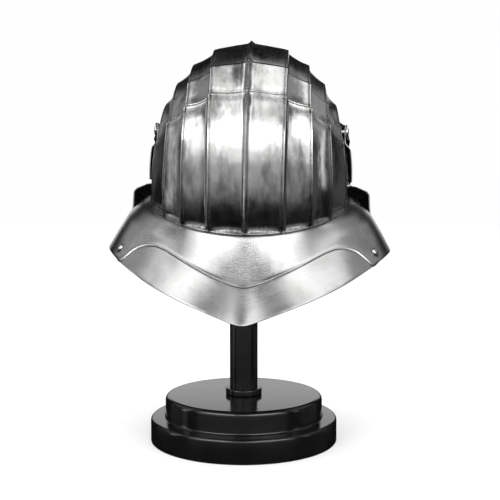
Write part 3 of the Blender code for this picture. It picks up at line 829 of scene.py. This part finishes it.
brushed_steel = steel_finish(
    "brushed_plate_steel", BRUSHED, BRUSHED_DULL, (14, 1100), (0.24, 0.29), (0.000012, 0.00003), 0.25, 0.6
)
rear_flat = (rear_wide, rear_tall)
rear_plate = sheet_metal("rear_plate", rear_turns, rear_row_list, rear_surface, NECK_WALL, rear_flat)
fit(rear_plate, brushed_steel, "skull_on_stand", "polished_steel", "rear_neck_plate")


# Two round-headed steel rivets near the rear plate's outer corners, each over a small washer inside.

RIVET_RADIUS = 0.0038
RIVET_RISE = 0.0022
RIVET_SHANK = 0.0018
RIVET_FOOT_RADIUS = 0.0030
RIVET_FOOT = 0.0010
FIT_GAP = 0.0003


def low_dome(radius, rise, base, steps):
    """(radius, height) points of a shallow domed head standing on base."""
    turns = [radians(90) * share for share in evenly(steps)]
    return [(radius * sin(turn), base + rise * cos(turn)) for turn in turns]


rivet_steel = steel_finish(
    "rivet_steel", STEEL, STEEL, (300, 300), (0.10, 0.16), (0.00001, 0.00002), 0.0, 0.0
)
rivet_under = -NECK_WALL - FIT_GAP
rivet_profile = low_dome(RIVET_RADIUS, RIVET_RISE, FIT_GAP, 10) + [
    (RIVET_SHANK, FIT_GAP),
    (RIVET_SHANK, rivet_under),
    (RIVET_FOOT_RADIUS, rivet_under),
    (RIVET_FOOT_RADIUS, rivet_under - RIVET_FOOT),
    (0, rivet_under - RIVET_FOOT),
]
for side, label in ((1, "left"), (-1, "right")):
    turn = side * REAR_REACH * RIVET_PLACE[0]
    point = rear_sheet(turn, RIVET_PLACE[1])
    way = facing(rear_sheet, turn, RIVET_PLACE[1])
    rivet = turned(f"rivet_{label}", rivet_profile, 40)
    stance = Matrix.Translation(point) @ way.to_track_quat("Z", "Y").to_matrix().to_4x4()
    rivet.data.transform(seat @ stance)
    fit(rivet, rivet_steel, "skull_on_stand", "polished_steel", f"neck_rivet_{label}")


# The bevor is a plain raised sheet round the chin, hung on the side pivots by narrow arms. The front neck
# plate is fixed to its lower edge and flares out over the chest.

BEVOR_WALL = 0.0011
ARM_END_RADIUS = 0.0078
ARM_CLEARANCE = 0.0004
ARM_WIDENING = 0.045
ARM_TURN = 0.5
ARM_COLUMNS = 24
HUNG_REACH = radians(86)
ARM_FLUTE_SHARE = 0.8
BEVOR_FLAT = 0.0112
BEVOR_DEPTH = SKULL_HALF_LENGTH + 0.003
BEVOR_STANDOFF = 0.0026
BEVOR = (
    # share of BEVOR_END_FRONT, share of BEVOR_STANDOFF, share of BEVOR_DEPTH
    (-0.11, 1.0, 0.959),
    (0.09, 1.0, 0.975),
    (0.27, 1.0, 0.992),
    (0.55, 1.0, 1.000),
    (0.77, 0.4, 0.959),
    (1.02, 0.0, 0.876),
)
BEVOR_TOP_FRONT = -0.040
BEVOR_TOP_SIDE = -0.016
BEVOR_END_FRONT = -0.110
BEVOR_END_SIDE = -0.052
BEVOR_BACK = 0.0050
BEVOR_EASE = 0.06
BEVOR_TALL = 0.07
# Painted shade along the bevor's lower edge, where the neck plate meets it.
BEVOR_PAINTED_SHADE = (
    # distance above the neck plate, half width, darkness
    (0.0, 0.0020, 0.80),
)
FRONT_HALF_WIDTH = SKULL_HALF_WIDTH + 0.031
FRONT_TIP_DEPTH = 0.157
FRONT_CORNER_LEVEL = -0.114
FRONT_TIP_LEVEL = -0.186
FRONT_REACH = radians(82.5)
FRONT_EASE = 0.12
FRONT_TALL = 0.085
# Painted shade along the neck plate's upper edge, under the bevor.
FRONT_PAINTED_SHADE = (
    # distance below the bevor, half width, darkness
    (0.0, 0.00255, 0.80),
)
FRONT_PLATE = (
    # row, share of half width, share of the side's drop, share of the tip's depth, share of the tip's drop
    (1, 0.835, 0.065, 0.713, 0.092),
    (2, 0.923, 0.148, 0.771, 0.250),
    (3, 0.950, 0.218, 0.834, 0.434),
    (4, 0.956, 0.419, 0.898, 0.645),
    (5, 0.971, 0.694, 0.955, 0.842),
    (6, 1.000, 1.000, 1.000, 1.000),
)


def skull_side(height):
    """Half width of the skull at a height, kept at its widest below its centre."""
    rise = max(0.0, (height + SKULL_DROP) / SKULL_HALF_HEIGHT)
    return SKULL_HALF_WIDTH * sqrt(1 - rise * rise)


def arm_edge(depth, edge, back, sign):
    """Height of a hung plate's edge at a depth in front of the pivot: an arc round the arm's end that
    runs into edge. sign is 1 above the pivot and -1 below it."""
    radius = ARM_END_RADIUS
    turn_off = radius * ARM_TURN
    if depth < turn_off:
        return sign * sqrt(max(0.0, radius**2 - max(depth, -back) ** 2))
    start = sign * sqrt(radius**2 - turn_off**2)
    return blend(start, edge, smooth((depth - turn_off) / ARM_WIDENING))


def hung_turns(front_depth, back, count):
    """Turns from one pivot round the front to the other, close together at the arms' ends."""
    first = front_depth * cos(HUNG_REACH)
    depths = [blend(first, -back, share) for share in evenly(ARM_COLUMNS)[1:]]
    ends = [atan2(sqrt(front_depth**2 - depth**2), depth) for depth in depths]
    near = [HUNG_REACH * share for share in evenly(count)]
    return [-turn for turn in reversed(near[1:] + ends)] + near + ends


BEVOR_ARM = skull_side(-ARM_END_RADIUS) - ARM_FLUTE_SHARE * FLUTE_DEPTH + ARM_CLEARANCE + BEVOR_WALL


def side_width(hugging, arm, depth, height, flat):
    """Half width of a hung plate: at arm round the pivot, out to flat, then eased to hug the skull."""
    away = (hypot(depth, height) - flat) / ARM_END_RADIUS
    return blend(arm, max(hugging, arm), smooth(away))


def bevor_sheet(turn, down):
    """A point on the bevor's outside. turn is 0 in front; down runs from its top to its end."""
    depth = BEVOR_DEPTH * cos(turn)
    side = smooth(abs(sin(turn)) ** 3)
    top = arm_edge(depth, blend(BEVOR_TOP_FRONT, BEVOR_TOP_SIDE, side), BEVOR_BACK, 1)
    end = blend(BEVOR_END_FRONT, BEVOR_END_SIDE, smooth(1 - cos(turn)))
    height = blend(top, end, down)
    share = height / BEVOR_END_FRONT
    hugging = skull_side(height) + BEVOR_STANDOFF * eased_value(BEVOR, share, 1, BEVOR_EASE)
    width = side_width(hugging, BEVOR_ARM, depth, height, BEVOR_FLAT)
    front = BEVOR_DEPTH * eased_value(BEVOR, share, 2, BEVOR_EASE)
    return Vector((width * sin(turn), -front * cos(turn), height))


def bevor_surface(turn, down):
    point = bevor_sheet(turn, down)
    # Painted shade at the lower edge.
    return point, painted_shade_at(BEVOR_PAINTED_SHADE, (1 - down) * BEVOR_TALL)


def front_sheet(turn, down):
    """A point on the front neck plate: down 0 is the bevor's lower edge."""
    start = bevor_sheet(turn, 1.0) - Vector((0, 0, EDGE_GAP))
    if down == 0:
        return start
    place = down * len(FRONT_PLATE)
    columns = [eased_value(FRONT_PLATE, max(1.0, place), column, FRONT_EASE) for column in (1, 2, 3, 4)]
    width, side_drop, depth, front_drop = columns
    side_level = blend(BEVOR_END_SIDE, FRONT_CORNER_LEVEL, side_drop)
    front_level = blend(BEVOR_END_FRONT, FRONT_TIP_LEVEL, front_drop)
    level = blend(front_level, side_level, smooth(abs(turn) / FRONT_REACH))
    point = Vector((width * FRONT_HALF_WIDTH * sin(turn), -depth * FRONT_TIP_DEPTH * cos(turn), level))
    return start.lerp(point, min(1.0, place))


def front_surface(turn, down):
    point = front_sheet(turn, down)
    # Painted shade under the bevor.
    return point, painted_shade_at(FRONT_PAINTED_SHADE, down * FRONT_TALL)


bevor_turns = hung_turns(BEVOR_DEPTH, BEVOR_BACK, 48)
bevor_rows = evenly(36)
bevor_wide = [turn * BEVOR_DEPTH for turn in bevor_turns]
bevor_tall = [share * BEVOR_TALL for share in bevor_rows]
bevor_flat = (bevor_wide, bevor_tall)
bevor = sheet_metal("chin_bevor", bevor_turns, bevor_rows, bevor_surface, BEVOR_WALL, bevor_flat)
fit(bevor, brushed_steel, "bevor_body", "polished_steel", "bevor")

front_turns = [FRONT_REACH * step / 70 for step in range(-70, 71)]
front_rows_down = evenly(42)
front_wide = [turn * FRONT_HALF_WIDTH for turn in front_turns]
front_tall = [share * FRONT_TALL for share in front_rows_down]
front_plate = sheet_metal(
    "front_plate", front_turns, front_rows_down, front_surface, NECK_WALL, (front_wide, front_tall)
)
fit(front_plate, brushed_steel, "bevor_body", "polished_steel", "front_neck_plate")


# The visor is hung on the same pivots over the bevor. It is embossed in three ridges across the face, with
# two sights between the upper ones and rows of short breaths below, all cut through.

VISOR_WALL = 0.0010
VISOR_FLAT = 0.0070
VISOR_DEPTH = SKULL_HALF_LENGTH + 0.0155
VISOR_STANDOFF = 0.0050
VISOR_RIDGE = 0.011
VISOR_RIDGE_REACH = radians(70)
VISOR_EASE = 0.04
VISOR_TALL = 0.11
VISOR = (
    # share of VISOR_END_FRONT, share of VISOR_STANDOFF, share of VISOR_DEPTH, share of VISOR_RIDGE
    (-0.49, 1.12, 0.757, 0.00),
    (-0.29, 1.08, 0.809, 0.00),
    (-0.14, 1.04, 0.846, 0.00),
    (0.00, 1.00, 0.876, 0.00),
    (0.13, 1.00, 0.899, 0.18),
    (0.26, 1.00, 0.933, 1.00),
    (0.39, 1.00, 0.948, 0.18),
    (0.51, 1.00, 0.978, 1.00),
    (0.64, 1.00, 0.981, 0.18),
    (0.77, 1.00, 1.000, 0.82),
    (0.90, 1.00, 0.981, 0.09),
    (1.06, 1.04, 0.966, 0.00),
)
VISOR_TOP_FRONT = 0.030
VISOR_TOP_SIDE = 0.012
VISOR_END_FRONT = -0.070
VISOR_END_SIDE = -0.026
HINGE_GAP = 0.0005
VISOR_ARM = BEVOR_ARM + HINGE_GAP + VISOR_WALL
SIGHT_HEIGHT = 0.0075
SIGHT_LEVEL = 0.0010
SIGHT_PLACES = (0.012, 0.066)
BREATH_LEVELS = (-0.0225, -0.0405)
BREATH_PLACES = (0.030, 0.046, 0.062)
BREATH_SIZE = (0.009, 0.0040)
SIGHT_CUT = (-0.130, -0.070)
BREATH_CUT = (-0.150, -0.080)
SLOT_ROUND = 0.42
VISOR_CORNER = radians(40)
# Painted shade in the valleys between the ridges.
VALLEY_PAINTED_SHADE = 0.35
VALLEY_START = 0.13
VALLEY_END = 0.10


def visor_sheet(turn, down):
    """A point on the visor's outside, laid out like the bevor's."""
    depth = VISOR_DEPTH * VISOR[3][2] * cos(turn)
    side = smooth(abs(sin(turn)) ** 4)
    top = arm_edge(depth, blend(VISOR_TOP_FRONT, VISOR_TOP_SIDE, side), ARM_END_RADIUS, 1)
    end = arm_edge(depth, blend(VISOR_END_FRONT, VISOR_END_SIDE, side), ARM_END_RADIUS, -1)
    height = blend(top, end, down)
    share = height / VISOR_END_FRONT
    hugging = skull_side(height) + VISOR_STANDOFF * eased_value(VISOR, share, 1, VISOR_EASE)
    width = side_width(hugging, VISOR_ARM, depth, height, VISOR_FLAT)
    fade = 1 - smooth(abs(turn) / VISOR_RIDGE_REACH)
    ridge = VISOR_RIDGE * eased_value(VISOR, share, 3, VISOR_EASE) * fade
    front = VISOR_DEPTH * eased_value(VISOR, share, 2, VISOR_EASE) + ridge
    return Vector((width * sin(turn), -front * cos(turn), height))


def visor_surface(turn, down):
    point = visor_sheet(turn, down)
    share = point.z / VISOR_END_FRONT
    fade = 1 - smooth(abs(turn) / VISOR_RIDGE_REACH)
    # Painted shade in the valleys between the ridges, fading towards the sides and the edges.
    valley = (1 - eased_value(VISOR, share, 3, VISOR_EASE)) * fade
    valley *= smooth(share / VALLEY_START) * smooth((1 - share) / VALLEY_END)
    return point, VALLEY_PAINTED_SHADE * valley


visor_turns = hung_turns(VISOR_DEPTH * VISOR[3][2], ARM_END_RADIUS, 64)
visor_rows = evenly(72)
visor_wide = [turn * VISOR_DEPTH for turn in visor_turns]
visor_tall = [share * VISOR_TALL for share in visor_rows]
visor_flat = (visor_wide, visor_tall)
visor = sheet_metal("face_visor", visor_turns, visor_rows, visor_surface, VISOR_WALL, visor_flat)

slots = bmesh.new()
sight_middle = sum(SIGHT_PLACES) / 2
sight_size = (SIGHT_PLACES[1] - SIGHT_PLACES[0], SIGHT_HEIGHT)
openings = []
for side in (-1, 1):
    openings.append((side * sight_middle, SIGHT_LEVEL, sight_size, SIGHT_CUT))
    for level in BREATH_LEVELS:
        openings += [(side * place, level, BREATH_SIZE, BREATH_CUT) for place in BREATH_PLACES]
for across, level, (length, height), (front, back) in openings:
    middle = Matrix.Translation((across, (front + back) / 2, level))
    size = Matrix.Diagonal((length, back - front, height, 1))
    cube = bmesh.ops.create_cube(slots, matrix=seat @ middle @ size)
    edges = {edge for corner in cube["verts"] for edge in corner.link_edges}
    longest = 0.9 * (back - front)
    through = [edge for edge in edges if abs((edge.verts[0].co - edge.verts[1].co).y) > longest]
    bmesh.ops.bevel(
        slots,
        geom=through,
        offset=SLOT_ROUND * min(length, height),
        segments=4,
        profile=0.5,
        affect="EDGES",
        material=-1,
    )
slot_mesh = bpy.data.meshes.new("visor_slots")
slots.to_mesh(slot_mesh)
slots.free()
cutter = bpy.data.objects.new("visor_slots", slot_mesh)
bpy.context.scene.collection.objects.link(cutter)
cut = visor.modifiers.new("slots", "BOOLEAN")
cut.operation = "DIFFERENCE"
cut.solver = "EXACT"
cut.object = cutter
bpy.context.view_layer.update()
pierced = bpy.data.meshes.new_from_object(visor.evaluated_get(bpy.context.evaluated_depsgraph_get()))
visor.modifiers.clear()
visor.data = pierced
bpy.data.objects.remove(cutter)
pierced.shade_smooth()
pierced.set_sharp_from_angle(angle=VISOR_CORNER)
fit(visor, brushed_steel, "visor_body", "polished_steel", "visor")


# A steel pin at each side carries both plates: it goes through skull, bevor and visor, with a low polished
# head outside and a washer riveted on inside.

PIN_RADIUS = 0.0028
PIN_HEAD_RADIUS = 0.0054
PIN_HEAD_HEIGHT = 0.0017
WASHER_GAP = 0.0022
WASHER_HEIGHT = 0.0012

pin_outside = VISOR_ARM + FIT_GAP
pin_inside = skull_side(0.0) - FLUTE_DEPTH - SKULL_WALL - WASHER_GAP
pin_profile = low_dome(PIN_HEAD_RADIUS, PIN_HEAD_HEIGHT, pin_outside, 10) + [
    (PIN_RADIUS, pin_outside),
    (PIN_RADIUS, pin_inside),
    (PIN_HEAD_RADIUS, pin_inside),
    (PIN_HEAD_RADIUS, pin_inside - WASHER_HEIGHT),
    (0, pin_inside - WASHER_HEIGHT),
]
for side, label in ((1, "left"), (-1, "right")):
    pin = turned(f"pin_{label}", pin_profile, 48)
    pin.data.transform(seat @ Matrix.Rotation(side * radians(90), 4, "Y"))
    fit(pin, rivet_steel, "skull_on_stand", "polished_steel", f"pivot_pin_{label}")


# The studio: a pale floor that runs into a pale backdrop, which the steel doesn't mirror, and a dark room
# round it. Soft cards of light stand in it, placed as the helmet sees them: two tall windows that run on
# overhead, with a dark gap between them, a weak low card in front, and narrow or weak ones at the sides.

PALE = (0.92, 0.92, 0.925)
STUDIO_RADIUS = 6.0
FLOOR_GLOW = (0.20, 0.42)
FLOOR_GLOW_REACH = (0.16, 0.60)
FLOOR_REFLECT = 0.6
BACKDROP_GLOW = 1.08
ROOM = (0.005, 0.005, 0.005)
CARD_DISTANCE = 1.9
CARD_SPACING = 0.01
CARD_CENTRE = Vector((-0.004, 0.0, 0.30))
CARD_STEPS = 30
CAMERA_TURN = radians(182.5)

# Standing cards are given by azimuth and elevation. Overhead ones by how far they lie to the side, and
# by how far up and over, both measured from the camera's side.
STANDING = (
    # angles across, angles up, brightness, soft edges: at the sides, below, above
    ((-77, -11), (4, 44), 2.4, (7, 24, 8)),
    ((3, 69), (4, 44), 2.4, (7, 24, 8)),
    ((-66, 60), (25, 32), 11.0, (10, 3, 3)),
    ((-64, -15), (36, 68), 1.70, (16, 8, 6)),
    ((7, 56), (36, 68), 1.70, (16, 8, 6)),
    ((-24, 16), (30, 68), 0.12, (8, 6, 6)),
    ((-70, 66), (-27, 30), 0.55, (6, 26, 16)),
    ((-98, -85), (-20, 36), 1.7, (4, 8, 8)),
    ((75, 86), (-12, 30), 1.1, (4, 8, 8)),
    ((-140, -84), (12, 60), 0.38, (8, 8, 4)),
    ((78, 140), (12, 60), 0.38, (8, 8, 4)),
    ((-130, -98), (-24, 12), 0.08, (4, 6, 2)),
    ((87, 130), (-24, 12), 0.08, (4, 6, 2)),
    ((150, 210), (-3, 18), 1.0, (6, 4, 4)),
)
OVERHEAD = (
    # angles across, angles up and over, brightness, soft edges: at the sides, in front, behind
    ((-38, -11), (64, 105), 1.9, (7, 5, 4)),
    ((4, 38), (64, 105), 1.9, (7, 5, 4)),
)


def standing_way(across, up):
    return Vector((sin(across) * cos(up), cos(across) * cos(up), sin(up)))


def overhead_way(across, over):
    return Vector((sin(across), cos(across) * cos(over), cos(across) * sin(over)))


def add_card(name, distance, place, across, up, brightness, edges):
    """A thin curved card of light over these angles in degrees, seen in reflections only."""
    towards_camera = Vector((sin(CAMERA_TURN), -cos(CAMERA_TURN), 0))
    to_right = Vector((0, 0, 1)).cross(towards_camera)
    view = Matrix((to_right, towards_camera, (0, 0, 1))).transposed()
    mesh = bpy.data.meshes.new(name)
    shape = bmesh.new()
    bmesh.ops.create_grid(shape, x_segments=CARD_STEPS, y_segments=CARD_STEPS, size=0.5)
    glow = shape.verts.layers.float.new("glow")
    for corner in shape.verts:
        turn = blend(*across, corner.co.x + 0.5)
        rise = blend(*up, corner.co.y + 0.5)
        sides = smooth(min(turn - across[0], across[1] - turn) / edges[0])
        ends = smooth((rise - up[0]) / edges[1]) * smooth((up[1] - rise) / edges[2])
        corner[glow] = brightness * sides * ends
        corner.co = CARD_CENTRE + view @ place(radians(turn), radians(rise)) * distance
    shape.to_mesh(mesh)
    shape.free()
    card = bpy.data.objects.new(name, mesh)
    bpy.context.scene.collection.objects.link(card)
    material, tree, shader = new_material(name, 0.0)
    brightness_here = add_node(tree, "ShaderNodeAttribute", attribute_name="glow")
    light = add_node(tree, "ShaderNodeEmission")
    clear = add_node(tree, "ShaderNodeBsdfTransparent")
    both = add_node(tree, "ShaderNodeAddShader")
    tree.links.new(brightness_here.outputs["Fac"], light.inputs["Strength"])
    tree.links.new(light.outputs["Emission"], both.inputs[0])
    tree.links.new(clear.outputs["BSDF"], both.inputs[1])
    tree.links.new(both.outputs["Shader"], tree.nodes["Material Output"].inputs["Surface"])
    tree.nodes.remove(shader)
    mesh.materials.append(material)
    card.visible_camera = False
    card.visible_shadow = False


for number, card in enumerate(STANDING):
    add_card(f"standing_card_{number}", CARD_DISTANCE + number * CARD_SPACING, standing_way, *card)
for number, card in enumerate(OVERHEAD):
    add_card(f"overhead_card_{number}", CARD_DISTANCE - (number + 1) * CARD_SPACING, overhead_way, *card)


def stage_shell(name, shape, glow, reflect):
    mesh = bpy.data.meshes.new(name)
    shape.to_mesh(mesh)
    shape.free()
    mesh.shade_smooth()
    shell = bpy.data.objects.new(name, mesh)
    bpy.context.scene.collection.objects.link(shell)
    material, tree, shader = new_material(name, 0.0)
    shader.inputs["Base Color"].default_value = (reflect, reflect, reflect, 1)
    shader.inputs["Roughness"].default_value = 0.9
    shader.inputs["Specular IOR Level"].default_value = 0.0
    shader.inputs["Emission Color"].default_value = (*PALE, 1)
    shader.inputs["Emission Strength"].default_value = glow
    mesh.materials.append(material)
    shell.visible_glossy = False
    return tree, shader


floor_shape = bmesh.new()
bmesh.ops.create_circle(floor_shape, cap_ends=True, segments=96, radius=STUDIO_RADIUS)
floor_tree, floor_shader = stage_shell("floor", floor_shape, FLOOR_GLOW[1], FLOOR_REFLECT)
floor_place = add_node(floor_tree, "ShaderNodeTexCoord")
from_stand = add_node(floor_tree, "ShaderNodeVectorMath", operation="LENGTH")
floor_tree.links.new(floor_place.outputs["Object"], from_stand.inputs[0])
floor_glow = spread(floor_tree, from_stand.outputs["Value"], *FLOOR_GLOW_REACH, *FLOOR_GLOW)
floor_tree.links.new(floor_glow, floor_shader.inputs["Emission Strength"])
dome_shape = bmesh.new()
bmesh.ops.create_uvsphere(dome_shape, u_segments=64, v_segments=32, radius=STUDIO_RADIUS)
bmesh.ops.bisect_plane(
    dome_shape,
    geom=dome_shape.verts[:] + dome_shape.edges[:] + dome_shape.faces[:],
    plane_co=(0, 0, 0),
    plane_no=(0, 0, 1),
    clear_inner=True,
)
bmesh.ops.reverse_faces(dome_shape, faces=dome_shape.faces)
stage_shell("backdrop", dome_shape, BACKDROP_GLOW, 0.0)

world = bpy.data.worlds.new("dark_room")
world.use_nodes = True
world.node_tree.nodes["Background"].inputs["Color"].default_value = (*ROOM, 1)
bpy.context.scene.world = world
bpy.context.scene.view_settings.view_transform = "Standard"


# The camera stands behind the helmet at the height of its neck, a little to one side, looking down
# slightly, with a portrait lens.

CAMERA_DISTANCE = 0.970
CAMERA_HEIGHT = 0.275
CAMERA_PITCH = radians(4.21)
FOCAL_PIXELS = 909
IMAGE_PIXELS = 500
SENSOR_WIDTH = 36.0
AXIS_PIXEL = 243.7

camera_data = bpy.data.cameras.new("portrait")
camera_data.sensor_width = SENSOR_WIDTH
camera_data.lens = SENSOR_WIDTH * FOCAL_PIXELS / IMAGE_PIXELS
camera_data.clip_start = 0.01
camera = bpy.data.objects.new("portrait", camera_data)
bpy.context.scene.collection.objects.link(camera)
behind = Vector((sin(CAMERA_TURN), -cos(CAMERA_TURN), 0))
look = -behind * cos(CAMERA_PITCH) - Vector((0, 0, sin(CAMERA_PITCH)))
right = look.cross(Vector((0, 0, 1))).normalized()
sideways = (AXIS_PIXEL - IMAGE_PIXELS / 2) * CAMERA_DISTANCE / FOCAL_PIXELS
camera.location = behind * CAMERA_DISTANCE + Vector((0, 0, CAMERA_HEIGHT)) - right * sideways
camera.rotation_euler = (-look).to_track_quat("Z", "Y").to_euler()
bpy.context.scene.camera = camera
